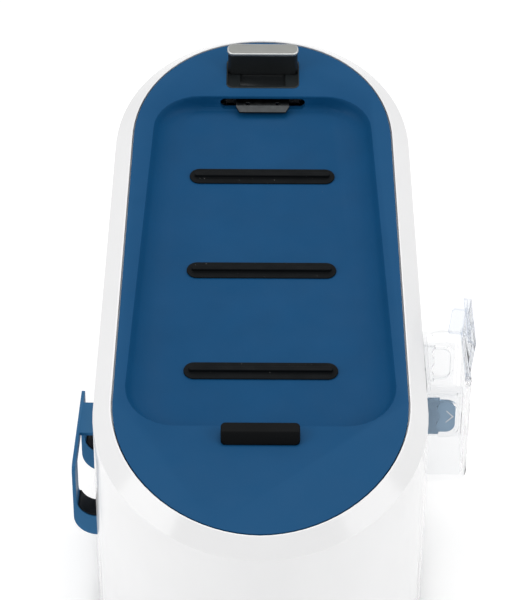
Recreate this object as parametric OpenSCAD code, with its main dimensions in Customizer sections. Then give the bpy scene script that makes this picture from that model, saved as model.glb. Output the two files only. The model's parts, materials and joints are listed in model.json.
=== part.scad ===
// Base station of a steam-generator iron, shown with the iron lifted off.
// A white housing carries a sloping blue iron rest with three silicone pads, a heel stop and a
// sliding lock lever. A clear drawer tank with a flip lid sits on the right, and an open hose
// clip on the left. Boiler, pump, valves and board are inside.
// X to the right, Y to the back, Z up, millimetres, on its feet at Z = 0.

/* [Housing] */
// slope of the iron rest, rising to the back, in degrees
tray_tilt = 13.5; // [13:0.25:14]
// height of the iron rest's datum plane above the table, at the middle pad
seat_z = 142; // [141:0.5:144]
// widest half width of the iron rest
tray_half_w = 73.2; // [72.6:0.2:74]
// sideways step from the iron rest's edge to the housing wall
chamfer_w = 10.1; // [9.8:0.1:10.6]
// housing wall thickness
shell_wall = 2.8; // [2.4:0.1:3]

/* [Iron rest] */
// length of each silicone pad
pad_len = 78; // [70:1:80]
// width of each silicone pad
pad_w = 10.8; // [9:0.2:12]
// spacing of the pads along the slope
pad_pitch = 68.25; // [66:0.25:69]
// width of the heel stop
heel_w = 38.8; // [34:0.2:42]

/* [Lock] */
// how far the lock lever slides forward
lock_travel = 9; // [7:0.5:9.5]
// height of the lever above the rest's rim
lever_rise = 12.3; // [10:0.1:15]

/* [Tank] */
// how far the clear tank stands out, measured from the middle of the housing
tank_x = 106.2; // [105:0.2:108]
// size of the tank from front to back
tank_d = 49.8; // [49.4:0.2:50]
// height of the tank's rim above the table
tank_top = 119; // [118.6:0.2:119.2]
// how far the lid stands open, in degrees
lid_open = 96; // [90:1:100]

/* [Node] */
// which part to draw

/* [Hidden] */
$fn = 48;

ct = cos(tray_tilt);
st = sin(tray_tilt);
eps = 0.01;

// heights along the tilted rest's normal, from the plane that seat_z gives
rim_h = 7.5;
// open line between the rest's edge and the shell's pocket
tray_gap = 0.8;
edge_h = -0.5;
floor_h = -1.5;
rib_h = 1.3;
plate_t = 3.2;
bowl_t = 2.5;

// plan outline: two superellipse ends joined by straight, slightly tapering sides
front_c = -95;
back_c = 88;
front_b = 80.1;
back_b = 77.5;
back_half = tray_half_w - 3.5;
arc_n = 40;

function spow(v, p) = sign(v) * pow(abs(v), p);
function end_arc(a, b, c, n, t0) = [for (i = [0 : arc_n])
  let (th = t0 + 180 * i / arc_n) [a * spow(cos(th), 2 / n), c + b * spow(sin(th), 2 / n)]];
function egg(o) = concat(
  end_arc(back_half + o, back_b + 1.12 * o, back_c, 2.1, 0),
  end_arc(tray_half_w + o, front_b + 0.99 * o, front_c, 1.93, 180));

// a point of the tilted rest frame (x, s along the slope, h along the normal) in part axes
function tilted(x, s, h) = [x, s * ct - h * st, seat_z + s * st + h * ct];
// the housing wall's plan outline, o inward when negative
function wall_plan(o) = [for (p = egg(chamfer_w + o)) [p[0], p[1] * ct - edge_h * st]];

// straight side wall: half width of the housing at a given Y
side_slope = 3.5 / (183 * ct);
function wall_x(y) = tray_half_w + chamfer_w - side_slope * (y - (front_c * ct - edge_h * st));

// front wall's Y at a given X, o inward when negative
function front_y(x, o) = (front_c - (front_b + 0.99 * (chamfer_w + o))
  * pow(1 - pow(abs(x) / (tray_half_w + chamfer_w + o), 1.93), 1 / 1.93)) * ct - edge_h * st;

body_z0 = 6;
y_front = (front_c - front_b - 0.99 * chamfer_w) * ct - edge_h * st;
y_back = (back_c + back_b + 1.12 * chamfer_w) * ct - edge_h * st;

// hose clip, measured out from the side wall
clip_out = 12;
clip_y0 = -91.6;
clip_blade = 1.8;
clip_top = seat_z - 58.5;
clip_bot = seat_z - 102.3;

// tank
tank_y0 = -71;
tank_y1 = tank_y0 + tank_d;
tank_z0 = 59.7;
tank_x0 = -60;
tank_wall = 2.4;
tank_in_top = tank_top - 3.2;
mouth_x = 83.8;
groove_z0 = 87.6;
groove_z1 = 112.4;
groove_d = 5.4;
skin_t = 1.6;
lid_ax = tank_x - 1.6;
lid_az = tank_top + 1.8;
lid_y0 = tank_y0 + 6.6;
lid_y1 = tank_y1 - 4.3;
lid_free_x = mouth_x - 1.3;
valve_y = (tank_y0 + tank_y1) / 2;
valve_z = 71;

// boiler
boil_y = 52;
boil_z = 66;
boil_r = 42;
boil_l = 120;
boil_wall = 3;
post_x = boil_l / 2 + 6.5;

// row frame: middle of the overall size in plan
x_max = lid_ax - (lid_ax - lid_free_x) * cos(lid_open) + 0.7 * sin(lid_open);
x_min = -(wall_x(clip_y0) + clip_out * cos(atan(side_slope)));
cx = (x_min + x_max) / 2;
cy = (y_front + y_back) / 2;

module placed() { translate([-cx, -cy, 0]) children(); }
module on_rest() { translate([0, 0, seat_z]) rotate([tray_tilt, 0, 0]) children(); }
module box(a, b) { translate(a) cube([b[0] - a[0], b[1] - a[1], b[2] - a[2]]); }
module rod_x(x0, x1, y, z, r) { translate([x0, y, z]) rotate([0, 90, 0]) cylinder(r = r, h = x1 - x0); }
module rod_y(y0, y1, x, z, r) { translate([x, y1, z]) rotate([90, 0, 0]) cylinder(r = r, h = y1 - y0); }
module rod_z(z0, z1, x, y, r) { translate([x, y, z0]) cylinder(r = r, h = z1 - z0); }
module pill(l, w) {
  square([l - w, w], center = true);
  for (k = [-1, 1]) translate([k * (l - w) / 2, 0]) circle(d = w);
}
module rounded(w, d, r) {
  square([w - 2 * r, d], center = true);
  square([w, d - 2 * r], center = true);
  for (i = [-1, 1], j = [-1, 1]) translate([i * (w / 2 - r), j * (d / 2 - r)]) circle(r = r);
}
// closed skin through a stack of rings with equal point counts
module loft(rings) {
  n = len(rings[0]);
  m = len(rings);
  polyhedron(
    points = [for (r = rings, p = r) p],
    faces = concat(
      [[for (i = [0 : n - 1]) i]],
      [[for (i = [0 : n - 1]) (m - 1) * n + n - 1 - i]],
      [for (k = [0 : m - 2], i = [0 : n - 1]) [k * n + i, (k + 1) * n + (i + 1) % n, k * n + (i + 1) % n]],
      [for (k = [0 : m - 2], i = [0 : n - 1]) [k * n + i, (k + 1) * n + i, (k + 1) * n + (i + 1) % n]]));
}
// the side above the tilted plane at height h, used to trim vertical walls
module above(h) { on_rest() translate([-150, -260, h]) cube([300, 520, 160]); }

// ---------- housing ----------
boss_at = [[69, -112], [-69, -112], [63, 112], [-63, 112]];

module shell_outer() {
  loft([
    [for (p = egg(chamfer_w)) [p[0], p[1] * ct - edge_h * st, body_z0]],
    [for (p = egg(chamfer_w)) tilted(p[0], p[1], edge_h)],
    [for (p = egg(1.5)) tilted(p[0], p[1], rim_h)]]);
}

module body_shell() color([0.93, 0.93, 0.94]) placed() difference() {
  union() {
    difference() {
      shell_outer();
      difference() {
        translate([0, 0, body_z0 - 1]) linear_extrude(height = 240) polygon(wall_plan(-shell_wall));
        above(-4);
      }
      on_rest() translate([0, 0, rim_h - plate_t]) linear_extrude(height = 9) polygon(egg(tray_gap));
      on_rest() translate([0, 0, -14]) linear_extrude(height = 24) polygon(egg(-3.5));
      // tank opening, and the shallow relief the lid's free edge swings past
      box([60, tank_y0 - 0.8, tank_z0 - 0.7], [100, tank_y1 + 0.8, tank_top + 0.8]);
      box([lid_free_x - 0.9, lid_y0 - 0.8, tank_top], [100, lid_y1 + 0.8, lid_az + 5.5]);
    }
    // walls of the rear recess
    intersection() {
      translate([0, 0, 20]) linear_extrude(height = 60) polygon(wall_plan(-1));
      box([-37, rear_y - 4, 23], [37, 200, 69]);
    }
    for (b = boss_at) {
      rod_z(body_z0 + 2, 40, b[0], b[1], 5);
      sx = b[0] > 0 ? 1 : -1;
      box([sx > 0 ? b[0] : -wall_x(b[1]) + 3, b[1] - 1.2, 14.4],
          [sx > 0 ? wall_x(b[1]) - 3 : b[0], b[1] + 1.2, 40]);
    }
  }
  for (b = boss_at) rod_z(body_z0, 30, b[0], b[1], 1.9);
  // front panel opening and rear recess
  box([-32, -200, 40], [32, -150, 62]);
  box([-34, rear_y, 26], [34, 200, 66]);
  box([-31, 120, 29], [31, rear_y + 1, 63]);
  // screw holes behind the hose clip
  for (k = clip_pegs) clip_frame() rod_x(-shell_wall * 3, shell_wall * 2, k[0], k[1], 1.7);
}

module base_pan() color([0.25, 0.32, 0.4]) placed() difference() {
  union() {
    translate([0, 0, 4]) linear_extrude(height = 3) polygon(wall_plan(-shell_wall - 0.4));
    difference() {
      translate([0, 0, 6]) linear_extrude(height = 8) polygon(wall_plan(-shell_wall - 0.4));
      translate([0, 0, 5]) linear_extrude(height = 12) polygon(wall_plan(-shell_wall - 2.4));
      for (b = boss_at) rod_z(7, 16, b[0], b[1], 9);
      for (k = [-1, 1]) box([k * 21.4 - 2.8, -180, 7], [k * 21.4 + 2.8, -160, 16]);
    }
    // posts for the boiler, the tank bay, the board and the pump
    for (i = [-1, 1], j = [-1, 1]) rod_z(6, boil_z - 9, i * post_x, boil_y + j * 43, 5);
    for (i = [-1, 1], j = [0, 1]) rod_z(6, 57.4, i * 56, j ? -28 : -64, 4);
    for (i = [-1, 1], j = [0, 1]) rod_z(6, 16, i * 44, j ? -28 : -64, 3);
    for (j = [0, 1]) box([-42, j ? -104 : -141, 6], [-18, j ? -100 : -137, 28]);
  }
  rod_z(3, 8, 0, boil_y, 12.5);
  for (b = boss_at) {
    rod_z(3, 9, b[0], b[1], 2.1);
    rod_z(3, 5.6, b[0], b[1], 4.4);
  }
}

module feet() color([0.1, 0.1, 0.11]) placed()
  for (p = [[52, -128], [-52, -128], [48, 124], [-48, 124]]) rod_z(0, 4, p[0], p[1], 9);

module base_screws() color([0.7, 0.7, 0.72]) placed() for (b = boss_at) {
  rod_z(4.2, 5.6, b[0], b[1], 3.6);
  rod_z(5, 24, b[0], b[1], 1.8);
}

// ---------- iron rest ----------
rec_back = 122.2;
rec_front = -109.3;
rec_half_b = 59;
rec_half_f = 67.2;
corner_n = 9;
rec_r = 25;
function corner(x, s, rx, rs, a0, n) = [for (i = [0 : n - 1])
  let (a = a0 + 90 * i / (n - 1)) [x + rx * cos(a), s + rs * sin(a)]];
// one rounded corner: side and dir give its quarter, d and e how far its two edges are drawn in
function rec_corner(side, half, d, edge, e, dir, a0) = let (rx = max(rec_r - d, 4), rs = max(rec_r - e, 4))
  corner(side * (half - d - rx), edge + dir * (e + rs), rx, rs, a0, corner_n);
// recess ring, drawn in by d at the sides, db at the back and df at the front
function rec_ring(d, db, df) = concat(
  rec_corner(1, rec_half_b, d, rec_back, db, -1, 0),
  rec_corner(-1, rec_half_b, d, rec_back, db, -1, 90),
  rec_corner(-1, rec_half_f, d, rec_front, df, 1, 180),
  rec_corner(1, rec_half_f, d, rec_front, df, 1, 270));
function up(r, h) = [for (p = r) [p[0], p[1], h]];

well_s0 = 128.7;
well_s1 = 152.2;
well_half = 20.1;

module rest_tray() color([0.14, 0.33, 0.49]) placed() on_rest() difference() {
  union() {
    translate([0, 0, rim_h - plate_t]) linear_extrude(height = plate_t) polygon(egg(0));
    loft([
      up(rec_ring(11.4, 0.6, 3), floor_h - bowl_t),
      up(rec_ring(3.5, -1.6, -0.6), floor_h + 1),
      up(rec_ring(-0.6, -2.6, -2.4), rim_h - plate_t - 1),
      up(rec_ring(-1.2, -2.8, -2.6), rim_h - 1.2)]);
    // bosses under the rim for the screws
    for (p = tray_screw_at) translate([p[0], p[1], -8]) cylinder(r = 3.6, h = 12.8);
  }
  loft([
    up(rec_ring(14, 2.6, 7), floor_h),
    up(rec_ring(10, 1.6, 5), floor_h + 0.6),
    up(rec_ring(6.5, 0.9, 3), floor_h + 1.7),
    up(rec_ring(3.5, 0.5, 1.8), floor_h + 3.5),
    up(rec_ring(1.5, 0.3, 0.9), floor_h + 6),
    up(rec_ring(0.3, 0.1, 0.2), rim_h - 0.6),
    up(rec_ring(-0.6, -0.6, -0.6), rim_h + 0.5)]);
  // latch slot in the steep rear wall
  translate([0, 119, 2.5]) rotate([-90, 0, 0]) linear_extrude(height = 10) rounded(46.6, 6.6, 2.6);
  // well for the lever
  translate([0, (well_s0 + well_s1) / 2, -12]) linear_extrude(height = 24)
    rounded(2 * well_half, well_s1 - well_s0, 3.5);
  for (p = tray_screw_at) translate([p[0], p[1], -9]) cylinder(r = 1.6, h = 11.5);
}
tray_screw_at = [[44, 134], [-44, 134], [45, -137], [-45, -137]];

module tray_screws() color([0.7, 0.7, 0.72]) placed() on_rest() for (p = tray_screw_at)
  translate([p[0], p[1], 0]) {
    translate([0, 0, -10]) cylinder(r = 1.5, h = 12);
    translate([0, 0, -10.4]) cylinder(r = 3, h = 2.3);
  }

module pad(k) color([0.08, 0.09, 0.1]) placed() on_rest() translate([0, 0.9 + k * pad_pitch, 0]) {
  translate([0, 0, floor_h]) linear_extrude(height = 0.9) pill(pad_len, pad_w);
  translate([0, 0, floor_h + 0.4]) linear_extrude(height = rib_h - floor_h - 0.4) pill(pad_len - 5.2, 2.8);
}

// block that catches the iron's heel, its front face leaning back
heel_h = 5.5;
module heel_stop() color([0.1, 0.11, 0.12]) placed() on_rest() translate([0, -116.7, rim_h]) difference() {
  linear_extrude(height = heel_h) rounded(heel_w, 10.2, 2.4);
  translate([-30, -5.1, 1.2]) rotate([atan((heel_h - 1.2) / 4.2), 0, 0]) translate([0, -2, 0])
    cube([60, 20, 12]);
}

// ---------- lock ----------
stem_s0 = 142.3;
stem_t = 7;
stem_w = 38.4;
cap_t = 1.9;
cap_lip = 1.3;
tongue_w = 29.4;
well_floor = 4.5;
well_t = 1;

module lever_well() color([0.12, 0.13, 0.14]) placed() on_rest() difference() {
  translate([0, (well_s0 + well_s1) / 2, well_floor - well_t])
    linear_extrude(height = rim_h - well_floor + well_t)
    rounded(2 * well_half - 0.3, well_s1 - well_s0 - 0.3, 3.4);
  translate([0, (well_s0 + well_s1) / 2, well_floor]) linear_extrude(height = 10)
    rounded(2 * well_half - 1.1, well_s1 - well_s0 - 2.1, 3);
  box([-12.6, stem_s0 + 0.7 - lock_travel, 0], [12.6, stem_s0 + 6.3, 9]);
}

module lock_guide() color([0.3, 0.31, 0.33]) placed() on_rest() {
  box([-20.3, 127.2, -2.2], [20.3, 153.6, -0.3]);
  for (k = [0, 1]) box([k ? 17 : -20.3, 127.2, -0.5], [k ? 20.3 : -17, 153.6, well_floor - well_t]);
  // two legs tie the guide to the tray's underside
  for (k = [0, 1]) box([k ? 17 : -20.3, 152.6, 1], [k ? 20.3 : -17, 155.4, rim_h - plate_t]);
}

module lock_lever() color([0.1, 0.1, 0.11]) placed() on_rest() {
  // finger stem
  translate([0, stem_s0 + stem_t / 2, well_floor + 0.3])
    linear_extrude(height = rim_h + lever_rise - well_floor - 0.3) rounded(stem_w, stem_t, 2);
  // neck through the well's floor, and the carriage that runs in the guide
  box([-12, stem_s0 + 1, 1], [12, stem_s0 + 6, well_floor + 1]);
  box([-16.6, 125.4, 0], [16.6, stem_s0 + 8, well_floor - 2.4]);
  // raised pad that closes the floor's slot in front of the stem
  box([-14, stem_s0 + 0.3 - lock_travel, 1], [14, stem_s0 + 8, well_floor - well_t - 0.3]);
}

module lock_cap() color([0.7, 0.7, 0.7]) placed() on_rest()
  translate([0, stem_s0 + (stem_t - cap_lip) / 2, rim_h + lever_rise]) linear_extrude(height = cap_t)
    rounded(stem_w + 0.7, stem_t + cap_lip, 3.4);

// bent metal tongue: flat root on the carriage, nose sloping down into the recess
module latch_tongue() color([0.45, 0.46, 0.47]) placed() on_rest() difference() {
  translate([tongue_w / 2, 0, 0]) rotate([0, -90, 0]) linear_extrude(height = tongue_w) polygon([
    [2.1, 126], [3.4, 126], [3.4, 119.2], [2.2, 115.2], [0.9, 115.6], [2.1, 119.6]]);
  for (k = [-1, 1]) box([k * 8.2 - 0.9, 119.8, -4], [k * 8.2 + 0.9, 121.6, 9]);
  // the nose narrows towards its tip
  for (k = [-1, 1]) translate([0, 0, -4]) linear_extrude(height = 14) polygon([
    [k * tongue_w / 2, 118.8], [k * (tongue_w / 2 + 1), 118.8],
    [k * (tongue_w / 2 + 1), 114], [k * (tongue_w / 2 - 2.8), 114]]);
}

// ---------- hose clip ----------
// frame on the left side wall: x out of the wall (negative X), y along it
module clip_frame() {
  translate([-wall_x(0), 0, 0]) rotate([0, 0, -atan(side_slope)]) children();
}
clip_pegs = [[clip_y0 + 6, clip_bot + 5.6], [-34, clip_bot + 5.6], [-49, clip_top - 2.6]];
hook_len = 12.6;
rear_y0 = -40;

// one J-shaped hook: upright outer arm and a curved sole back to the wall
module hook_profile() {
  difference() {
    union() {
      translate([0, clip_bot + clip_out]) circle(r = clip_out, $fn = 96);
      translate([-clip_out, clip_bot + clip_out]) square([clip_out, clip_top - clip_bot - clip_out]);
    }
    translate([0, clip_bot + 22.2]) circle(r = clip_out - clip_blade, $fn = 96);
    translate([-clip_out + clip_blade, clip_bot + 22.2]) square([clip_out, 60]);
    translate([-0.05, clip_bot - 20]) square([40, 120]);
  }
}
module hook(y0, l) { translate([0, y0 + l, 0]) rotate([90, 0, 0]) linear_extrude(height = l)
  hook_profile(); }

module hose_clip() color([0.23, 0.41, 0.56]) placed() clip_frame() difference() {
  union() {
    hook(clip_y0, hook_len);
    hook(rear_y0, hook_len);
    // top rail with a thin tip running back
    box([-clip_out, clip_y0, clip_top - 6], [-clip_out + clip_blade, -34, clip_top]);
    translate([-clip_out, 0, 0]) rotate([90, 0, 90]) linear_extrude(height = clip_blade)
      polygon([[-34.2, clip_top - 6], [-34.2, clip_top], [-28, clip_top], [-27.2, clip_top - 1.2],
        [-27.4, clip_top - 6]]);
    // roof over the rear hook, with a screw boss under it
    box([-clip_out + 0.2, -63, clip_top - 1.8], [-0.05, -37.4, clip_top]);
    box([-7, -52, clip_top - 4.6], [-0.05, -46, clip_top - 1]);
  }
  for (k = clip_pegs) rod_x(-7, 2, k[0], k[1], 1.25);
  // rounded front corner of the rail
  translate([-clip_out - 1, clip_y0, clip_top]) rotate([90, 0, 90]) linear_extrude(height = 4)
    difference() {
    translate([-1, -4]) square([5, 5]);
    translate([4, -4]) circle(r = 4);
  }
}

// black lining of the two soles
module liner(y0, l) {
  translate([0, y0 + l, 0]) rotate([90, 0, 0]) linear_extrude(height = l) intersection() {
    translate([0, clip_bot + 22.2]) difference() {
      circle(r = clip_out - clip_blade - 0.02, $fn = 96);
      circle(r = clip_out - clip_blade - 1, $fn = 96);
    }
    translate([-clip_out, clip_bot + 6]) square([clip_out - 0.06, 13.1]);
  }
}
module clip_liner() color([0.07, 0.1, 0.14]) placed() clip_frame() {
  liner(clip_y0 + 0.5, hook_len - 0.5);
  liner(rear_y0 + 0.5, hook_len - 0.5);
}

module clip_screws() color([0.7, 0.7, 0.72]) placed() clip_frame() for (k = clip_pegs) {
  rod_x(-6, shell_wall + 0.5, k[0], k[1], 1.2);
  rod_x(shell_wall + 0.1, shell_wall + 2, k[0], k[1], 2.6);
}

// ---------- water tank and its bay ----------
module tank_bay() color([0.75, 0.77, 0.8]) placed() difference() {
  union() {
    box([-72, tank_y0 - 2.4, 57.4], [78, tank_y1 + 2.4, 59.4]);
    box([-72, tank_y0 - 2.4, 57.4], [78, tank_y0 - 0.6, 114]);
    box([-72, tank_y1 + 0.6, 57.4], [78, tank_y1 + 2.4, 114]);
    box([-72, tank_y0 - 2.4, 57.4], [-70, tank_y1 + 2.4, 100]);
  }
  rod_x(-75, -65, valve_y, valve_z, 6.0);
}

module tank_spigot() color([0.85, 0.86, 0.88]) placed() difference() {
  union() {
    rod_x(-74, -62, valve_y, valve_z, 5.5);
    rod_x(-69.9, -68.4, valve_y, valve_z, 8.5);
  }
  difference() {
    rod_x(-71, -60, valve_y, valve_z, 3.6);
    box([-66.4, valve_y - 1, valve_z - 5], [-64.4, valve_y + 1, valve_z + 5]);
  }
  rod_x(-75, -70, valve_y, valve_z, 2.25);
}

module spigot_seal() color([0.1, 0.1, 0.1]) placed()
  translate([-64.6, valve_y, valve_z]) rotate([0, 90, 0]) rotate_extrude() translate([6.2, 0])
    circle(r = 0.65);

module tank_plan(o) {
  difference() {
    translate([tank_x0 + o, tank_y0 + o]) square([tank_x - tank_x0 - 2 * o, tank_d - 2 * o]);
    for (k = [0, 1]) translate([tank_x - o, k ? tank_y1 - o : tank_y0 + o])
      square([2 * max(5 - o, 1), 2 * max(5 - o, 1)], center = true);
  }
  for (k = [0, 1]) translate([tank_x - o - max(5 - o, 1), k ? tank_y1 - o - max(5 - o, 1)
    : tank_y0 + o + max(5 - o, 1)])
    circle(r = max(5 - o, 1));
}
module tank_side(o, top) {
  difference() {
    polygon([[tank_x0 + o, tank_z0 + o], [tank_x - o, tank_z0 + o], [tank_x - o, tank_top + top],
      [mouth_x + (o ? 1.8 : 0), tank_top + top], [mouth_x + (o ? 1.8 : 0), tank_in_top + (o ? eps : 0)],
      [tank_x0 + o, tank_in_top + (o ? eps : 0)]]);
    translate([tank_x - o, tank_z0 + o]) square(2 * max(5 - o, 1), center = true);
  }
  translate([tank_x - o - max(5 - o, 1), tank_z0 + o + max(5 - o, 1)]) circle(r = max(5 - o, 1));
}
module tank_solid(o, top) intersection() {
  translate([0, 0, tank_z0 + o - 1]) linear_extrude(height = 70) tank_plan(o);
  translate([0, tank_y1 + 5, 0]) rotate([90, 0, 0]) linear_extrude(height = tank_d + 10) tank_side(o, top);
}
// mirror to the tank's rear face
module both_faces() {
  children();
  translate([0, tank_y0 + tank_y1, 0]) mirror([0, 1, 0]) children();
}
win_x0 = 90.5;
win_x1 = 99.2;
win_z0 = seat_z - 51.8;
win_z1 = seat_z - 31.6;
module window_shape(o) {
  translate([win_x0 - o, win_z0 - o]) square([win_x1 - win_x0 - 4, win_z1 - win_z0 + 2 * o]);
  translate([win_x0, win_z0 + 5]) square([win_x1 - win_x0 + o, win_z1 - win_z0 - 10]);
  for (k = [0, 1]) translate([win_x1 - 5, k ? win_z1 - 5 : win_z0 + 5]) circle(r = 5 + o);
}

module water_tank() color([0.85, 0.9, 0.95, 0.35]) placed() difference() {
  union() {
    difference() {
      tank_solid(0, 0);
      tank_solid(tank_wall, 4);
    }
    both_faces() box([tank_x0, tank_y0, groove_z0 - 1.5], [win_x1 + 3, tank_y0 + groove_d + 1.6,
      groove_z1 + 1.5]);
    // raised ridge round the window, and bars and catches at the rim
    both_faces() translate([0, tank_y0 + 0.1, 0]) rotate([90, 0, 0]) linear_extrude(height = 0.7)
      difference() {
      window_shape(1.4);
      window_shape(0);
      translate([win_x0 - 5, win_z0 - 5]) square([5.2, 40]);
    }
    both_faces() translate([93.9, tank_y0 + 0.1, seat_z - 25.4]) rotate([90, 0, 0])
      linear_extrude(height = 0.9) pill(10.4, 2.4);
    both_faces() box([91.5, tank_y0 + 0.6, tank_top - 0.2], [98.6, tank_y0 + 2.2, tank_top + 1.2]);
    // hinge ears with pins
    for (k = [0, 1]) {
      y0 = k ? lid_y1 + 0.4 : lid_y0 - 2.4;
      rod_y(y0, y0 + 2, lid_ax, lid_az, 1.7);
      box([lid_ax - 0.8, y0, tank_top - 1], [lid_ax + 1.6, y0 + 2, lid_az]);
      rod_y(k ? y0 - 3 : y0, k ? y0 : y0 + 5, lid_ax, lid_az, 0.8);
    }
    // nozzle on the inner end, with a bar that guides the valve stem
    rod_x(tank_x0 - 7, tank_x0 + 0.5, valve_y, valve_z, 9);
  }
  // grooves and covered pockets for the catch tongues
  both_faces() {
    box([tank_x0 - 1, tank_y0 + skin_t, groove_z0], [win_x1 + 1.4, tank_y0 + groove_d, groove_z1]);
    box([tank_x0 - 1, tank_y0 - 1, groove_z0], [mouth_x + 0.8, tank_y0 + groove_d, groove_z1]);
    translate([0, tank_y0 + skin_t + 0.5, 0]) rotate([90, 0, 0]) linear_extrude(height = 3.4)
      window_shape(0);
  }
  difference() {
    rod_x(tank_x0 - 8, tank_x0 - 0.01, valve_y, valve_z, 7);
    box([tank_x0 - 1.6, valve_y - 8, valve_z - 1.4], [tank_x0, valve_y + 8, valve_z + 1.4]);
  }
  rod_x(tank_x0 - 3, tank_x0 + 1, valve_y, valve_z, 1.35);
  difference() {
    rod_x(tank_x0 - 1, tank_x0 + 4, valve_y, valve_z, 4.4);
    rod_x(tank_x0 - 1.6, tank_x0, valve_y, valve_z, 20);
  }
}

module tank_cover() color([0.85, 0.9, 0.95, 0.35]) placed()
  box([tank_x0, tank_y0, tank_in_top + eps], [mouth_x - eps, tank_y1, tank_in_top + 1.6]);

module tank_lid() color([0.8, 0.87, 0.93, 0.45]) placed()
  translate([lid_ax, 0, lid_az]) rotate([0, lid_open, 0]) difference() {
    union() {
      box([lid_free_x - lid_ax, lid_y0, -1.3], [-0.4, lid_y1, 0.7]);
      translate([0, lid_y1, 0]) rotate([90, 0, 0]) cylinder(r = 1.6, h = lid_y1 - lid_y0);
      // lip near the free edge and the rear tab
      box([lid_free_x - lid_ax, lid_y0 + 1, -3.3], [lid_free_x - lid_ax + 1.2, lid_y1, 0]);
      translate([0, lid_y1 - 3.2, 0]) rotate([90, 0, 0]) linear_extrude(height = 1.4)
        polygon([[-17.6, 0], [-17.6, -7.4], [-16.4, -8.7], [-3, -8.7], [-2, -7.7], [-2, 0]]);
    }
    for (k = [0, 1]) translate([0, k ? lid_y1 + 1 : lid_y0 + 3.4, 0]) rotate([90, 0, 0])
      cylinder(r = 0.85, h = 4.4);
  }

module tank_poppet() color([0.2, 0.2, 0.22]) placed() {
  rod_x(tank_x0 + tank_wall + 0.1, tank_x0 + tank_wall + 2.2, valve_y, valve_z, 6);
  rod_x(tank_x0 - 4.2, tank_x0 + tank_wall + 1, valve_y, valve_z, 1.3);
}

// spring tongue that sits in the tank's groove; y0 is its outer face
module catch_shape() {
  difference() {
    union() {
      translate([54, 0]) square([win_x0 - 54, groove_z1 - groove_z0 - 2.2]);
      translate([win_x0 - 1, 1.4]) square([win_x1 - win_x0 - 4.2, groove_z1 - groove_z0 - 5]);
      translate([win_x0 - 1, 6.2]) square([win_x1 - win_x0 + 0.6, groove_z1 - groove_z0 - 14.6]);
      for (k = [0, 1]) translate([win_x1 - 5.2, k ? groove_z1 - groove_z0 - 8.4 : 6.2]) circle(r = 4.8);
    }
    for (k = [0, 1]) translate([66, 11.3 + (k ? 7 : -7)]) pill(20, 3);
  }
}
module catch_body() {
  translate([0, tank_y0 + skin_t + 1.7, groove_z0 + 1.1]) rotate([90, 0, 0])
    linear_extrude(height = 1.4) catch_shape();
  box([51, tank_y0 - 0.4, groove_z0 + 1.1], [54.5, tank_y0 + skin_t + 1.7, groove_z1 - 1.1]);
}
module catch_front() color([0.23, 0.41, 0.56]) placed() catch_body();
module catch_rear() color([0.75, 0.77, 0.8]) placed()
  translate([0, tank_y0 + tank_y1, 0]) mirror([0, 1, 0]) catch_body();

// ---------- boiler ----------
flange_at = [for (i = [-1, 1], j = [-1, 1]) [i * post_x, boil_y + j * 43]];
module boiler_half(k) {
  // k is 1 for the upper half and -1 for the lower
  difference() {
    union() {
      intersection() {
        rod_x(-boil_l / 2, boil_l / 2, boil_y, boil_z, boil_r);
        box([-100, boil_y - 60, k > 0 ? boil_z : boil_z - 60], [100, boil_y + 60,
          k > 0 ? boil_z + 60 : boil_z]);
      }
      difference() {
        box([-post_x - 6.5, boil_y - 49, k > 0 ? boil_z : boil_z - 3],
          [post_x + 6.5, boil_y + 49, k > 0 ? boil_z + 3 : boil_z]);
        for (p = flange_at) rod_z(boil_z - 9, boil_z + 9, p[0], p[1], 2.2);
      }
      if (k > 0) for (x = [-34, 0, 34]) rod_z(boil_z + boil_r - 8, boil_z + boil_r + 3, x, boil_y, 10);
      if (k < 0) rod_z(11, boil_z - boil_r + 4, 0, boil_y, 7);
    }
    if (k < 0) rod_z(10, boil_z - boil_r + 6, 0, boil_y, 4.5);
    rod_x(-boil_l / 2 + boil_wall, boil_l / 2 - boil_wall, boil_y, boil_z, boil_r - boil_wall);
    if (k > 0) for (x = [-34, 34]) rod_z(boil_z, boil_z + boil_r + 5, x, boil_y, 3);
    if (k > 0) rod_x(-boil_l, 0, boil_y, 88, 1.6);
    if (k < 0) for (j = [-1, 1]) rod_x(0, boil_l, boil_y + j * 14, boil_z - 22, 3.6);
  }
}
module boiler_lower() color([0.72, 0.73, 0.75]) placed() boiler_half(-1);
module boiler_upper() color([0.76, 0.77, 0.79]) placed() boiler_half(1);

module boiler_grommets() color([0.5, 0.2, 0.15]) placed() for (p = flange_at) difference() {
  rod_z(boil_z - 9, boil_z - 3, p[0], p[1], 5.5);
  rod_z(boil_z - 10, boil_z - 2, p[0], p[1], 2.3);
}
module boiler_screws() color([0.7, 0.7, 0.72]) placed() for (p = flange_at) {
  rod_z(boil_z + 3, boil_z + 5.4, p[0], p[1], 4);
  rod_z(boil_z - 8.8, boil_z + 4, p[0], p[1], 2.1);
}
module heating_element() color([0.5, 0.48, 0.46]) placed() {
  for (j = [-1, 1]) rod_x(-30, boil_l / 2 + 9, boil_y + j * 14, boil_z - 22, 3.5);
  translate([-30, boil_y, boil_z - 22]) rotate_extrude(angle = 360) translate([14, 0]) circle(r = 3.4);
}
module thermostat() color([0.15, 0.15, 0.16]) placed() {
  rod_z(boil_z + boil_r + 3, boil_z + boil_r + 9, 0, boil_y, 8);
  for (k = [-1, 1]) box([k * 4 - 1.5, boil_y - 0.5, boil_z + boil_r + 8], [k * 4 + 1.5, boil_y + 0.5,
    boil_z + boil_r + 16]);
}
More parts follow.
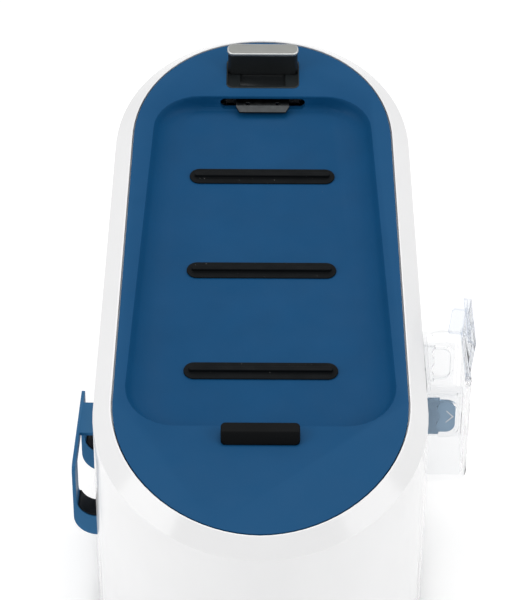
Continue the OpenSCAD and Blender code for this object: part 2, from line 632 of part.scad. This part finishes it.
module safety_valve() color([0.78, 0.62, 0.3]) placed() difference() {
  union() {
    rod_z(boil_z + boil_r + 3, boil_z + boil_r + 9, -34, boil_y, 7.5);
    rod_z(boil_z + boil_r + 8, boil_z + boil_r + 20, -34, boil_y, 5.5);
  }
  rod_z(boil_z + boil_r + 2, boil_z + boil_r + 17, -34, boil_y, 2.4);
  rod_x(-45, -34, boil_y, boil_z + boil_r + 14, 1.4);
}

// ---------- steam valve ----------
sv_z = boil_z + boil_r + 3;
module steam_valve() color([0.75, 0.6, 0.3]) placed() difference() {
  union() {
    box([26, boil_y - 9, sv_z], [42, boil_y + 9, sv_z + 12]);
    rod_y(boil_y + 8, boil_y + 17, 34, sv_z + 4, 3.6);
  }
  rod_z(sv_z - 1, sv_z + 3, 34, boil_y, 2.4);
  rod_z(sv_z + 3, sv_z + 13, 34, boil_y, 4.1);
  rod_y(boil_y + 1, boil_y + 20, 34, sv_z + 4, 1.8);
}
module valve_coil() color([0.1, 0.1, 0.11]) placed() difference() {
  rod_z(sv_z + 12, sv_z + 30, 34, boil_y, 10);
  rod_z(sv_z + 11, sv_z + 25, 34, boil_y, 4.1);
}
module valve_plunger() color([0.7, 0.7, 0.72]) placed() rod_z(sv_z + 3.1, sv_z + 21, 34, boil_y, 4.05);

// ---------- pump ----------
pump_x = -30;
pump_z = 46;
module pump_body() color([0.85, 0.83, 0.78]) placed() difference() {
  union() {
    rod_y(-146, -126, pump_x, pump_z, 12);
    rod_y(-112, -92, pump_x, pump_z, 10);
    rod_y(-127, -111, pump_x, pump_z, 8);
    rod_y(-153, -145, pump_x, pump_z, 3.6);
    rod_y(-93, -85, pump_x, pump_z, 3.6);
  }
  rod_y(-140, -98, pump_x, pump_z, 5.55);
  rod_y(-160, -130, pump_x, pump_z, 2);
  rod_y(-104, -80, pump_x, pump_z, 2);
}
module pump_coil() color([0.12, 0.12, 0.13]) placed() difference() {
  rod_y(-125.8, -112.2, pump_x, pump_z, 17);
  rod_y(-127, -111, pump_x, pump_z, 8.05);
}
module pump_piston() color([0.7, 0.7, 0.72]) placed() difference() {
  rod_y(-136, -104, pump_x, pump_z, 5.5);
  rod_y(-138, -102, pump_x, pump_z, 1.5);
}
module pump_bracket() color([0.15, 0.15, 0.16]) placed() for (j = [0, 1]) difference() {
  y = j ? -104 : -141;
  union() {
    rod_y(y, y + 4, pump_x, pump_z, 15);
    box([pump_x - 9, y, 28.05], [pump_x + 9, y + 4, pump_z]);
  }
  rod_y(y - 1, y + 5, pump_x, pump_z, j ? 10.05 : 12.05);
}

// ---------- hoses ----------
// tube through a list of points, with a ball at each bend
module tube(pts, r) {
  for (i = [0 : len(pts) - 2]) {
    v = pts[i + 1] - pts[i];
    translate(pts[i]) rotate([0, acos(v[2] / norm(v)), atan2(v[1], v[0])]) cylinder(r = r, h = norm(v));
  }
  for (i = [1 : len(pts) - 2]) translate(pts[i]) sphere(r = r * 1.1);
}
// supply from the tank spigot to the pump's inlet
module feed_hose() color([0.9, 0.9, 0.88]) placed()
  tube([[-71.4, valve_y, valve_z], [-76.8, valve_y, valve_z], [-76.8, valve_y, 24],
    [-76.8, -79, 24], [pump_x, -79, 24], [pump_x, -79, pump_z], [pump_x, -84.9, pump_z]], 2.2);
// pressure line from the pump up and back to the boiler
module boiler_hose() color([0.9, 0.9, 0.88]) placed()
  tube([[pump_x, -153.1, pump_z], [pump_x, -159, pump_z], [pump_x, -159, 88], [pump_x, -84, 88],
    [-75.2, -84, 88], [-75.2, boil_y, 88], [-boil_l / 2 - 0.1, boil_y, 88]], 2);
// steam line from the valve down to the hose gland
module steam_pipe() color([0.9, 0.9, 0.88]) placed()
  tube([[34, boil_y + 17.1, sv_z + 4], [34, 140, sv_z + 4], [34, 140, 46], [18, 140, 46], [18,
    rear_y - 6.1, 46]], 2.6);

// ---------- electronics ----------
module control_board() color([0.1, 0.35, 0.2]) placed() difference() {
  box([-50, -70, 16], [50, -22, 17.6]);
  for (i = [-1, 1], j = [0, 1]) rod_z(15, 19, i * 44, j ? -28 : -64, 1.4);
}
module board_parts() color([0.2, 0.2, 0.22]) placed() {
  box([-38, -62, 17.6], [-18, -42, 34]);
  box([-8, -60, 17.6], [14, -44, 31]);
  for (i = [0 : 2]) rod_z(17.6, 34, 26 + i * 0, -60 + i * 13, 5);
  for (i = [0 : 3]) box([-36 + i * 14, -32, 17.6], [-28 + i * 14, -26, 24]);
}

// ---------- front panel ----------
// curved panel, set 1 mm back from the front wall
panel_set = -1;
button_z = 51;
key_end = -172.3;
// legs of the panel, clear of the small keys' flanges
leg_x = 21.65;
leg_half = 2.15;
module control_panel() color([0.15, 0.2, 0.26]) placed() difference() {
  union() {
    intersection() {
      difference() {
        translate([0, 0, 40.2]) linear_extrude(height = 21.6) polygon(wall_plan(panel_set));
        translate([0, 0, 39]) linear_extrude(height = 24) polygon(wall_plan(panel_set - 1.8));
      }
      box([-31.8, -200, 40], [31.8, -150, 62]);
    }
    for (k = [-1, 1]) {
      box([k * leg_x - leg_half, -174, 40.6], [k * leg_x + leg_half, -167.6, 52]);
      box([k * leg_x - leg_half, -170.4, 7], [k * leg_x + leg_half, -167.6, 41]);
    }
  }
  for (k = [-1, 0, 1]) rod_y(-200, -160, k * 14, button_z, k ? 4.3 : 5.8);
  rod_y(-200, -160, 26.5, button_z, 1.6);
}
module button(x, r) {
  y = front_y(x, panel_set);
  rod_y(y - 0.9, key_end, x, button_z, r);
  rod_y(y + 3, y + 4.2, x, button_z, r + 1);
}
module power_button() color([0.8, 0.81, 0.82]) placed() button(0, 5.5);
module mode_button() color([0.8, 0.81, 0.82]) placed() button(-14, 4);
module rinse_button() color([0.8, 0.81, 0.82]) placed() button(14, 4);
module status_light() color([0.5, 0.8, 0.95]) placed()
  rod_y(front_y(26.5, panel_set) - 0.2, front_y(26.5, panel_set) + 2.4, 26.5, button_z, 1.55);
module panel_board() color([0.1, 0.35, 0.2]) placed() {
  box([-18.9, -169.6, 42], [18.9, -168, 60]);
  for (k = [-1, 0, 1]) box([k * 14 - 2.5, -170.6, button_z - 2.5], [k * 14 + 2.5, -169.5, button_z + 2.5]);
}

// ---------- rear ----------
rear_y = 158;
module rear_panel() color([0.25, 0.32, 0.4]) placed() difference() {
  union() {
    box([-33.8, rear_y, 26.2], [33.8, rear_y + 2.6, 65.8]);
    // stiffening frame that drops into the ledge's opening
    difference() {
      box([-30.8, rear_y - 2, 29.2], [30.8, rear_y + 0.1, 62.8]);
      box([-29, rear_y - 3, 31], [29, rear_y, 61]);
    }
  }
  rod_y(rear_y - 5, rear_y + 5, 18, 46, 8.6);
  rod_y(rear_y - 5, rear_y + 5, -18, 46, 6.6);
}
module hose_gland() color([0.12, 0.12, 0.13]) placed() difference() {
  union() {
    rod_y(rear_y - 6, rear_y + 8, 18, 46, 8.5);
    rod_y(rear_y + 2.7, rear_y + 5, 18, 46, 10.5);
  }
  rod_y(rear_y - 8, rear_y + 10, 18, 46, 5.5);
}
module cord_gland() color([0.12, 0.12, 0.13]) placed() difference() {
  union() {
    rod_y(rear_y - 6, rear_y + 8, -18, 46, 6.5);
    rod_y(rear_y + 2.7, rear_y + 5, -18, 46, 8.5);
  }
  rod_y(rear_y - 8, rear_y + 10, -18, 46, 3.7);
}
// plug that closes the boiler's drain from below, with a grip bar across its face
module drain_cap() color([0.3, 0.31, 0.33]) placed() {
  rod_z(5.5, 10.6, 0, boil_y, 12);
  rod_z(10.5, 24, 0, boil_y, 4.43);
  box([-8, boil_y - 1.5, 3.5], [8, boil_y + 1.5, 5.6]);
}

body_shell();
base_pan();
feet();
base_screws();
rest_tray();
tray_screws();
pad(1);  // pad_rear
pad(0);  // pad_middle
pad(-1);  // pad_front
heel_stop();
lever_well();
lock_guide();
lock_lever();
lock_cap();
latch_tongue();
hose_clip();
clip_liner();
clip_screws();
tank_bay();
tank_spigot();
spigot_seal();
catch_front();
catch_rear();
water_tank();
tank_cover();
tank_lid();
tank_poppet();
boiler_lower();
boiler_upper();
boiler_screws();
heating_element();
boiler_grommets();
thermostat();
safety_valve();
steam_valve();
valve_coil();
valve_plunger();
pump_body();
pump_coil();
pump_piston();
pump_bracket();
feed_hose();
boiler_hose();
steam_pipe();
control_board();
board_parts();
control_panel();
panel_board();
power_button();
mode_button();
rinse_button();
status_light();
rear_panel();
hose_gland();
cord_gland();
drain_cap();
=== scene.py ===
"""Base station of a steam-generator iron: finishes, fine shapes, light and camera.

Everything is in metres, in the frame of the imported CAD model: +X to the right, +Y to the
back, Z = 0 on the table. Visible CAD nodes are re-skinned with small edge radii; hidden
nodes keep their CAD mesh and get a material.
"""
import json
import math

import bmesh
import bpy
from mathutils import Matrix, Vector

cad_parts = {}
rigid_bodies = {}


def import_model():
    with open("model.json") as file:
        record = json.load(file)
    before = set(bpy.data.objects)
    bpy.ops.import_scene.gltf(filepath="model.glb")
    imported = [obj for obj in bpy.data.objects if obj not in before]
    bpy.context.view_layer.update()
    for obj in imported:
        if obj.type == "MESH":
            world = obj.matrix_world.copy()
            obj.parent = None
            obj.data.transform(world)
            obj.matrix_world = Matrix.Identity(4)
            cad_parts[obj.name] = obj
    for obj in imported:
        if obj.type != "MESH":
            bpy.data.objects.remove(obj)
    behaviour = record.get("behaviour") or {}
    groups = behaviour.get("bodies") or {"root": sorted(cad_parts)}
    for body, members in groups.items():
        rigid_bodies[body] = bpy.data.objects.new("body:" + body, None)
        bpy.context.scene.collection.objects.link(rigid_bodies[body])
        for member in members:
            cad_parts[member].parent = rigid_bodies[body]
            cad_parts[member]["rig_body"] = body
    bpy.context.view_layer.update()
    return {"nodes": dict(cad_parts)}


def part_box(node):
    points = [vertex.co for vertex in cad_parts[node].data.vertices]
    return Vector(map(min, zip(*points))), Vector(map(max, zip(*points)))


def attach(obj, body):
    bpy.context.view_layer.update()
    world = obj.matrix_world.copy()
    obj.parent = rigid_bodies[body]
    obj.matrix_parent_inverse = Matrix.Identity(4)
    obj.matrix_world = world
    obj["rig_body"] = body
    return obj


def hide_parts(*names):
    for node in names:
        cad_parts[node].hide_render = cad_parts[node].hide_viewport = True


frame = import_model()
NODES = frame["nodes"]

MM = 0.001


# ---------- camera ----------

CAMERA_AT = (-0.0039988, -1.0965253, 0.893745)
PITCH_DEG, ROLL_DEG = 35, 0.3
LENS_MM, SENSOR_MM = 153.66, 36


def add_camera():
    pitch, roll = math.radians(PITCH_DEG), math.radians(ROLL_DEG)
    forward = Vector((0, math.cos(pitch), -math.sin(pitch)))
    right = Vector((1, 0, 0))
    up = right.cross(forward)
    axes = (
        math.cos(roll) * right + math.sin(roll) * up,
        -math.sin(roll) * right + math.cos(roll) * up,
        -forward,
    )
    data = bpy.data.cameras.new("camera")
    data.lens, data.sensor_width = LENS_MM, SENSOR_MM
    data.clip_start, data.clip_end = 0.05, 50
    camera = bpy.data.objects.new("camera", data)
    camera.matrix_world = Matrix(
        [[axes[c][r] for c in range(3)] + [CAMERA_AT[r]] for r in range(3)] + [[0, 0, 0, 1]]
    )
    bpy.context.scene.collection.objects.link(camera)
    bpy.context.scene.camera = camera


# ---------- materials ----------

def srgb(r, g, b):
    """Linear colour from 0-255 display values."""
    return tuple(
        v / 12.92 if v <= 0.04045 else ((v + 0.055) / 1.055) ** 2.4
        for v in (r / 255, g / 255, b / 255)
    ) + (1,)


def scaled(colour, factor):
    return tuple(min(1, c * factor) for c in colour[:3]) + (1,)


class Nodes:
    """A material's node tree, with short calls for the nodes used here."""

    def __init__(self, name):
        self.mat = bpy.data.materials.new(name)
        self.mat.use_nodes = True
        self.tree = self.mat.node_tree
        self.shader = self.tree.nodes["Principled BSDF"]
        self.coord = self.tree.nodes.new("ShaderNodeTexCoord").outputs["Object"]

    def link(self, a, b):
        self.tree.links.new(a, b)

    def set(self, **sockets):
        for name, value in sockets.items():
            self.shader.inputs[name.replace("_", " ")].default_value = value

    def feed(self, base, roughness, normal):
        for name, output in (("Base Color", base), ("Roughness", roughness), ("Normal", normal)):
            self.link(output, self.shader.inputs[name])

    def stretched(self, x, y, z):
        node = self.tree.nodes.new("ShaderNodeMapping")
        node.inputs["Scale"].default_value = (x, y, z)
        self.link(self.coord, node.inputs["Vector"])
        return node.outputs["Vector"]

    def noise(self, scale, detail=3, rough=0.55, vector=None):
        node = self.tree.nodes.new("ShaderNodeTexNoise")
        node.inputs["Scale"].default_value = scale
        node.inputs["Detail"].default_value = detail
        node.inputs["Roughness"].default_value = rough
        self.link(vector or self.coord, node.inputs["Vector"])
        return node.outputs["Fac"]

    def span(self, value, from_lo, from_hi, to_lo, to_hi):
        node = self.tree.nodes.new("ShaderNodeMapRange")
        limits = {"From Min": from_lo, "From Max": from_hi, "To Min": to_lo, "To Max": to_hi}
        for key, v in limits.items():
            node.inputs[key].default_value = v
        self.link(value, node.inputs["Value"])
        return node.outputs["Result"]

    def mix(self, factor, a, b):
        node = self.tree.nodes.new("ShaderNodeMix")
        node.data_type = "RGBA"
        self.link(factor, node.inputs["Factor"])
        for key, colour in (("A", a), ("B", b)):
            socket = [s for s in node.inputs if s.name == key and s.type == "RGBA"][0]
            if isinstance(colour, tuple):
                socket.default_value = colour
            else:
                self.link(colour, socket)
        return [s for s in node.outputs if s.type == "RGBA"][0]

    def bump(self, height, strength, distance, normal=None):
        node = self.tree.nodes.new("ShaderNodeBump")
        node.inputs["Strength"].default_value = strength
        node.inputs["Distance"].default_value = distance
        self.link(height, node.inputs["Height"])
        if normal is not None:
            self.link(normal, node.inputs["Normal"])
        return node.outputs["Normal"]

    def edge(self, radius):
        """1 on convex edges, 0 on flats: where hands and the iron rub the finish."""
        node = self.tree.nodes.new("ShaderNodeNewGeometry")
        return self.span(node.outputs["Pointiness"], 0.5 + radius, 0.5 + 3 * radius, 0, 1)


# noise cells per metre: slow colour drift, hand polish, sink waves and dust of moulded plastic
DRIFT, POLISH, WAVES, DUST = 38, 55, 14, 1300


def plastic(name, colour, rough, grain=2600, grain_height=0.00003, shade=0.06, gloss_wear=0.06,
            worn=None, dust=0.0, **sockets):
    """Moulded plastic: sparked grain, faint colour drift, hand polish, worn edges and dust."""
    m = Nodes(name)
    light = scaled(colour, 1 + shade)
    base = m.mix(m.span(m.noise(DRIFT, 2), 0.3, 0.7, 0, 1), scaled(colour, 1 - shade), light)
    fine = m.noise(grain, 2, 0.6)
    base = m.mix(m.span(fine, 0.2, 0.8, 0, 0.35), base, light)
    if worn:
        base = m.mix(m.edge(0.02), base, worn)
    if dust:
        specks = m.span(m.noise(DUST, 1, 0.4), 0.80, 0.84, 0, dust)
        base = m.mix(specks, base, (0.6, 0.6, 0.58, 1))
    polish = m.span(m.noise(POLISH, 4), 0.3, 0.75, rough - gloss_wear, rough + gloss_wear)
    waves = m.bump(m.noise(WAVES, 2), 0.15, 0.0004)
    m.feed(base, polish, m.bump(fine, 0.5, grain_height, waves))
    m.set(**sockets)
    return m.mat


def rubber(name, colour, rough=0.62, dust=0.25):
    """Matt silicone or rubber with a fine mottle and a little dust."""
    m = Nodes(name)
    fine = m.noise(1700, 4, 0.65)
    base = m.mix(m.span(fine, 0.25, 0.75, 0, 1), scaled(colour, 0.8), colour)
    specks = m.span(m.noise(900, 1, 0.3), 0.79, 0.83, 0, dust)
    m.feed(m.mix(specks, base, (0.55, 0.55, 0.52, 1)),
           m.span(m.noise(120, 4), 0.3, 0.7, rough - 0.08, rough + 0.08),
           m.bump(fine, 0.4, 0.00004))
    m.set(Sheen_Weight=0.02, Sheen_Roughness=0.4, Specular_IOR_Level=0.11)
    return m.mat


def metal(name, colour, rough, brushed=(1, 1, 1), streak=0.12, scratch=0.00002):
    """Metal with a drawn or rolled grain along the direction that isn't stretched."""
    m = Nodes(name)
    lines = m.noise(900, 4, 0.6, m.stretched(*brushed))
    m.feed(m.mix(m.span(lines, 0.25, 0.75, 0, 1), scaled(colour, 1 - streak), colour),
           m.span(m.noise(300, 3), 0.3, 0.7, rough - 0.06, rough + 0.1),
           m.bump(lines, 0.5, scratch))
    m.set(Metallic=1.0)
    return m.mat


def clear(name, colour, rough, ior=1.06, ripple=0.000003):
    """Clear moulded plastic with flow ripple and fine haze."""
    m = Nodes(name)
    m.feed(m.mix(m.noise(70, 3), scaled(colour, 0.99), colour),
           m.span(m.noise(160, 4), 0.35, 0.75, rough, rough + 0.05),
           m.bump(m.noise(45, 2), 0.2, ripple))
    m.set(Transmission_Weight=1.0, IOR=ior, Coat_Weight=0.15, Coat_Roughness=0.04)
    return m.mat


def make_materials():
    return {
        "white": plastic("shell_white", (0.80, 0.80, 0.805, 1), 0.16, grain=1500, grain_height=0.000004,
                         shade=0.012, gloss_wear=0.04, IOR=1.52),
        "blue": plastic("rest_blue", (0.0035, 0.0625, 0.165, 1), 0.5, grain=2400,
                        grain_height=0.00003, shade=0.05, worn=(0.010, 0.080, 0.195, 1), dust=0.08,
                        Specular_IOR_Level=0.1),
        "clip_blue": plastic("clip_blue", (0.005, 0.088, 0.225, 1), 0.42, grain=2200, shade=0.05,
                             worn=(0.03, 0.13, 0.27, 1), Specular_IOR_Level=0.15),
        "catch_blue": plastic("catch_blue", srgb(140, 164, 186), 0.5, grain=1900, shade=0.05,
                              Specular_IOR_Level=0.2),
        "milky": clear("natural_clear", (0.955, 0.958, 0.962, 1), 0.1),
        "rubber": rubber("pad_silicone", (0.0024, 0.0034, 0.0042, 1)),
        # near-black sheet over the hose clip's inner curves: painted shade inside the hooks
        "liner": rubber("clip_liner", (0.0045, 0.0075, 0.012, 1)),
        "foot": rubber("foot_rubber", srgb(24, 24, 25), 0.7, 0.1),
        "black": plastic("black_plastic", (0.0016, 0.0022, 0.0027, 1), 0.46, grain=2000, grain_height=0.00003,
                         shade=0.15, worn=(0.005, 0.0055, 0.006, 1), dust=0.03, Specular_IOR_Level=0.06),
        "well_black": plastic("well_black", (0.017, 0.021, 0.0225, 1), 0.42, grain=2000,
                              grain_height=0.00003, shade=0.1, Specular_IOR_Level=0.3),
        "lever_black": plastic("lever_black", (0.0135, 0.0155, 0.0165, 1), 0.34, grain=1800,
                               grain_height=0.00002, shade=0.12, Specular_IOR_Level=0.3),
        "silver": plastic("cap_silver", srgb(145, 146, 143), 0.34, grain=3000, grain_height=0.00001, shade=0.04,
                          Metallic=0.75),
        # brighter silver on the cap's rounded edges: a painted highlight along the cap's front edge
        "cap_painted_highlight": plastic("cap_painted_highlight", srgb(200, 202, 201), 0.24, grain=3000, grain_height=0.00001, shade=0.03,
                            Metallic=0.5),
        # dark grey on the lock guide, which shows only inside the lever slot: painted shade of the slot
        "guide_painted_shade": plastic("guide_painted_shade", (0.03, 0.034, 0.037, 1), 0.5, grain=2000,
                               grain_height=0.00003, shade=0.1, Specular_IOR_Level=0.3),
        "steel": metal("latch_steel", srgb(62, 64, 65), 0.34, (1, 12, 12)),
        "zinc": metal("zinc_screw", srgb(190, 191, 194), 0.3, (6, 6, 1)),
        "alloy": metal("cast_alloy", srgb(176, 177, 180), 0.5, (1, 1, 1), 0.2, 0.00008),
        "brass": metal("turned_brass", srgb(205, 170, 105), 0.3, (10, 10, 1)),
        "element": metal("element_sheath", srgb(140, 132, 124), 0.42, (1, 9, 9), 0.3),
        "tank": clear("tank_clear", (0.950, 0.953, 0.957, 1), 0.015),
        # darker grey on the rounded edges of the tank, its cover and the rear catch: painted shade standing in
        # for the grey lines that refraction draws along clear edges
        "tank_painted_edge_shade": clear("tank_clear_painted_edge_shade", (0.50, 0.52, 0.55, 1), 0.05),
        "lid": clear("lid_clear", (0.885, 0.905, 0.935, 1), 0.06, ior=1.1, ripple=0),
        # deeper blue-grey on the lid's rounded edges: the lid's own tint, darkened further as painted shade
        # along its edge
        "lid_painted_edge_shade": clear("lid_clear_painted_edge_shade", (0.62, 0.68, 0.79, 1), 0.3, ior=1.1, ripple=0),
        "pan": plastic("pan_grey", srgb(92, 100, 110), 0.5, shade=0.08),
        "frame": plastic("frame_grey", srgb(226, 228, 232), 0.5, shade=0.05),
        "hose": plastic("hose_silicone", srgb(228, 228, 222), 0.45, shade=0.05, Subsurface_Weight=0.2),
        "board": plastic("board_green", srgb(24, 92, 58), 0.42, grain=900, shade=0.2),
        "key": plastic("key_grey", srgb(214, 216, 220), 0.22, grain_height=0.00001, shade=0.03),
        "lens": plastic("light_lens", srgb(150, 196, 225), 0.18, shade=0.05, Transmission_Weight=0.4),
        "panel": plastic("panel_dark", srgb(38, 50, 64), 0.2, grain_height=0.00001, shade=0.08),
        "grommet": rubber("grommet_red", srgb(132, 60, 44)),
    }


FINISH = {
    "white": "body_shell",
    "blue": "rest_tray",
    "clip_blue": "hose_clip",
    "catch_blue": "catch_front",
    "milky": "catch_rear",
    "rubber": "pad_rear pad_middle pad_front spigot_seal",
    # the clip liner's near-black is painted shade inside the hooks
    "liner": "clip_liner",
    "foot": "feet",
    "well_black": "lever_well",
    # the lock guide's dark grey is painted shade inside the lever slot
    "guide_painted_shade": "lock_guide",
    "black": "heel_stop hose_gland cord_gland thermostat valve_coil pump_coil "
             "pump_bracket board_parts tank_poppet",
    "lever_black": "lock_lever",
    "silver": "lock_cap",
    "steel": "latch_tongue",
    "zinc": "base_screws tray_screws clip_screws boiler_screws valve_plunger pump_piston",
    "alloy": "boiler_lower boiler_upper",
    "brass": "safety_valve steam_valve",
    "element": "heating_element",
    "tank": "water_tank tank_cover",
    "lid": "tank_lid",
    "pan": "base_pan rear_panel drain_cap",
    "frame": "tank_bay tank_spigot pump_body",
    "hose": "feed_hose boiler_hose steam_pipe",
    "board": "control_board panel_board",
    "key": "power_button mode_button rinse_button",
    "lens": "status_light",
    "panel": "control_panel",
    "grommet": "boiler_grommets",
}
FINISH_OF = {node: key for key, names in FINISH.items() for node in names.split()}


# ---------- shapes ----------

# nodes left unmerged, because merging leaves a crease across the flat round their hole
HOLED_FLATS = ("lever_well",)

# painted light on the rounded edges, where it differs from the faces: a painted highlight on the lock cap and
# painted shade on the clear tank, cover, lid and rear catch
EDGE_PAINTED_LIGHT = {
    "water_tank": "tank_painted_edge_shade", "tank_cover": "tank_painted_edge_shade", "tank_lid": "lid_painted_edge_shade",
    "catch_rear": "tank_painted_edge_shade", "lock_cap": "cap_painted_highlight",
}

# edge radius of each re-skinned node, in millimetres
RADII = {
    "body_shell": 0.6, "rest_tray": 0.5, "pad_rear": 0.5, "pad_middle": 0.5, "pad_front": 0.5,
    "heel_stop": 1.6, "lever_well": 0.4, "lock_lever": 0.5, "lock_cap": 0.6, "latch_tongue": 0.25,
    "hose_clip": 0.35, "clip_liner": 0.2, "water_tank": 0.35, "tank_cover": 0.3, "tank_lid": 0.3,
    "catch_front": 0.3, "catch_rear": 0.3, "feet": 1.0, "control_panel": 0.3, "rear_panel": 0.4,
    "power_button": 0.5, "mode_button": 0.4, "rinse_button": 0.4, "hose_gland": 0.5, "cord_gland": 0.5,
    "drain_cap": 0.5, "base_pan": 0.5, "status_light": 0.2,
}

# angles in degrees: flats merged below, shading split above, edges rounded above
MERGE_DEG, SHARP_DEG, ROUND_DEG = 0.4, 28, 26
WELD = 2e-6


def skin(node, radius):
    """A new piece on a CAD node's shape: merged flats, smooth curves and rounded edges."""
    bm = bmesh.new()
    bm.from_mesh(NODES[node].data)
    bmesh.ops.remove_doubles(bm, verts=bm.verts, dist=WELD)
    if node not in HOLED_FLATS:
        bmesh.ops.dissolve_limit(
            bm, angle_limit=math.radians(MERGE_DEG), verts=bm.verts, edges=bm.edges)
    mesh = bpy.data.meshes.new(node + "_skin")
    bm.to_mesh(mesh)
    bm.free()
    for polygon in mesh.polygons:
        polygon.use_smooth = True
    mesh.set_sharp_from_angle(angle=math.radians(SHARP_DEG))
    piece = bpy.data.objects.new(node + "_skin", mesh)
    bpy.context.scene.collection.objects.link(piece)
    bevel = piece.modifiers.new("edge_radius", "BEVEL")
    bevel.width, bevel.segments = radius, 2
    bevel.limit_method, bevel.angle_limit = "ANGLE", math.radians(ROUND_DEG)
    bevel.harden_normals = True
    bevel.miter_outer = "MITER_ARC"
    # the rounded edges of these nodes take their painted highlight or painted shade
    if node in EDGE_PAINTED_LIGHT:
        bevel.material = 1
    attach(piece, NODES[node]["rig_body"])
    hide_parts(node)
    return piece


def add_chevron():
    """Raised moulded arrow on the front catch's head, seen through the tank's window."""
    low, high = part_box("catch_front")
    inset, step, sunk = 1.1 * MM, 2.3 * MM, 0.1 * MM
    tip_x = high[0] - inset
    centre_z = (low[2] + high[2]) / 2
    face_y = low[1] + step  # outer face of the head, behind the foot's
    proud, half_line, arm = 0.2 * MM, 0.28 * MM, 3.6 * MM
    outline = [
        (tip_x + half_line, 0), (tip_x - arm, arm + half_line), (tip_x - arm, arm - half_line),
        (tip_x - 2 * half_line, 0), (tip_x - arm, half_line - arm), (tip_x - arm, -arm - half_line),
    ]
    bm = bmesh.new()
    front = [bm.verts.new((x, face_y - proud, centre_z + z)) for x, z in outline]
    back = [bm.verts.new((x, face_y + sunk, centre_z + z)) for x, z in outline]
    for corners in ((0, 1, 2, 3), (0, 3, 4, 5)):
        bm.faces.new([front[k] for k in corners])
        bm.faces.new([back[k] for k in reversed(corners)])
    for i in range(6):
        j = (i + 1) % 6
        bm.faces.new((front[i], back[i], back[j], front[j]))
    bmesh.ops.recalc_face_normals(bm, faces=bm.faces)
    mesh = bpy.data.meshes.new("catch_chevron")
    bm.to_mesh(mesh)
    bm.free()
    piece = bpy.data.objects.new("catch_chevron", mesh)
    bpy.context.scene.collection.objects.link(piece)
    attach(piece, "front_catch")
    mesh.materials.append(finishes["key"])


# ---------- stage and light ----------

def add_stage():
    bm = bmesh.new()
    bmesh.ops.create_grid(bm, x_segments=1, y_segments=1, size=6)
    mesh = bpy.data.meshes.new("floor")
    bm.to_mesh(mesh)
    bm.free()
    floor = bpy.data.objects.new("floor", mesh)
    bpy.context.scene.collection.objects.link(floor)
    m = Nodes("floor_paper")
    paper = m.mix(m.noise(3, 2), (0.95, 0.95, 0.95, 1), (0.97, 0.97, 0.97, 1))
    m.link(paper, m.shader.inputs["Base Color"])
    m.set(Roughness=0.9, Specular_IOR_Level=0.2, Emission_Color=(1, 1, 1, 1), Emission_Strength=0.15)
    mesh.materials.append(m.mat)


def add_light(name, place, aim, size, power):
    data = bpy.data.lights.new(name, "AREA")
    data.shape = "RECTANGLE"
    data.size, data.size_y = size
    data.energy = power
    light = bpy.data.objects.new(name, data)
    light.location = place
    light.rotation_euler = (Vector(aim) - Vector(place)).to_track_quat("-Z", "Y").to_euler()
    bpy.context.scene.collection.objects.link(light)


WORLD_LIGHT = 0.645


def add_lights():
    world = bpy.data.worlds.new("studio")
    bpy.context.scene.world = world
    world.use_nodes = True
    world.node_tree.nodes["Background"].inputs["Color"].default_value = (1, 1, 1, 1)
    world.node_tree.nodes["Background"].inputs["Strength"].default_value = WORLD_LIGHT
    aim = (0, 0, 0.12)
    add_light("overhead", (0.05, 0.35, 1.7), aim, (1.4, 1.0), 8.5)
    # side boxes that the chamfer mirrors at its front-left and front-right turns
    side_x, side_y, side_z = 1.31, -0.56, 0.86
    side_size = (0.9, 0.9)
    add_light("left_box", (-side_x, side_y, side_z), aim, side_size, 6.0)
    add_light("right_box", (side_x, side_y, side_z), aim, side_size, 5.2)


# ---------- scene ----------

add_camera()
finishes = make_materials()
for name, node in NODES.items():
    piece = skin(name, RADII[name] * MM) if name in RADII else node
    piece.data.materials.clear()
    piece.data.materials.append(finishes[FINISH_OF[name]])
    # second material: the painted highlight or painted shade of the rounded edges
    if name in EDGE_PAINTED_LIGHT:
        piece.data.materials.append(finishes[EDGE_PAINTED_LIGHT[name]])

add_chevron()
add_stage()
add_lights()
bpy.context.scene.view_settings.view_transform = "Standard"
# the tank's walls, pockets and ridges are many clear layers deep
CLEAR_BOUNCES = 32
bpy.context.scene.cycles.max_bounces = CLEAR_BOUNCES
bpy.context.scene.cycles.transmission_bounces = CLEAR_BOUNCES
